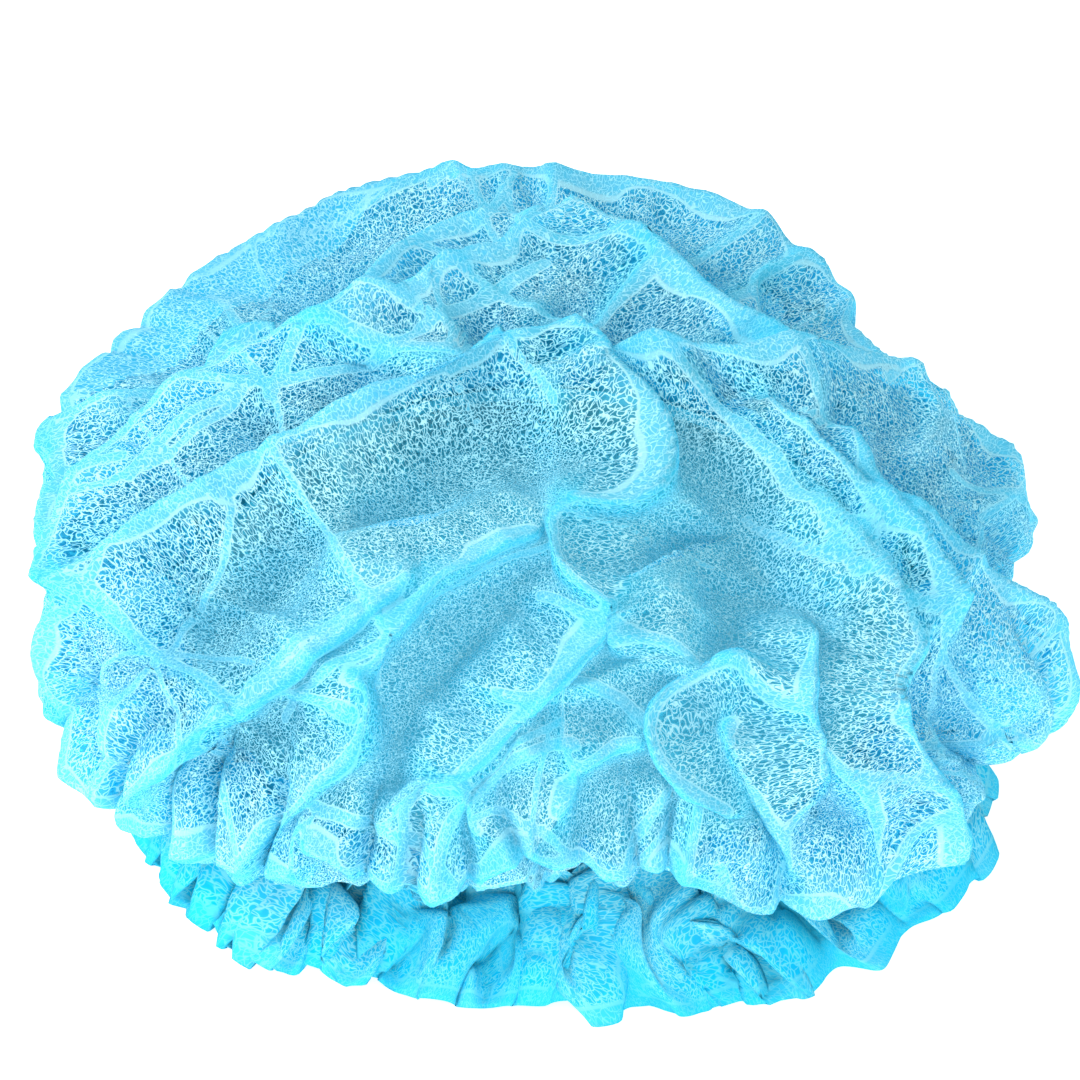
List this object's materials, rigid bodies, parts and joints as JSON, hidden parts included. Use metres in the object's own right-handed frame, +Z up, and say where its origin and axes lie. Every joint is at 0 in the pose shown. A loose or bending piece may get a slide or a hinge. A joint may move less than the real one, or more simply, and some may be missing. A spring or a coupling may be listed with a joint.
{
  "type": "disposable hairnet",
  "caption": "Disposable bouffant cap of thin cyan spunbonded web, gathered on an elastic and lying crown up, puffed and crumpled.",
  "frame": {"origin": "on the surface that the cap lies on, under the middle of its bounding box", "axes": "+Z up through the crown, +X to the right of the pictured view, +Y to the back"},
  "size_m": [0.2908, 0.2628, 0.1261],
  "materials": {
    "web": "thin random web, matt, half see-through",
    "elastic": "matt"
  },
  "bodies": {
    "root": {"crown": "web", "hem_ruffle": "web", "elastic_ring": "elastic"}
  },
  "joints": []
}
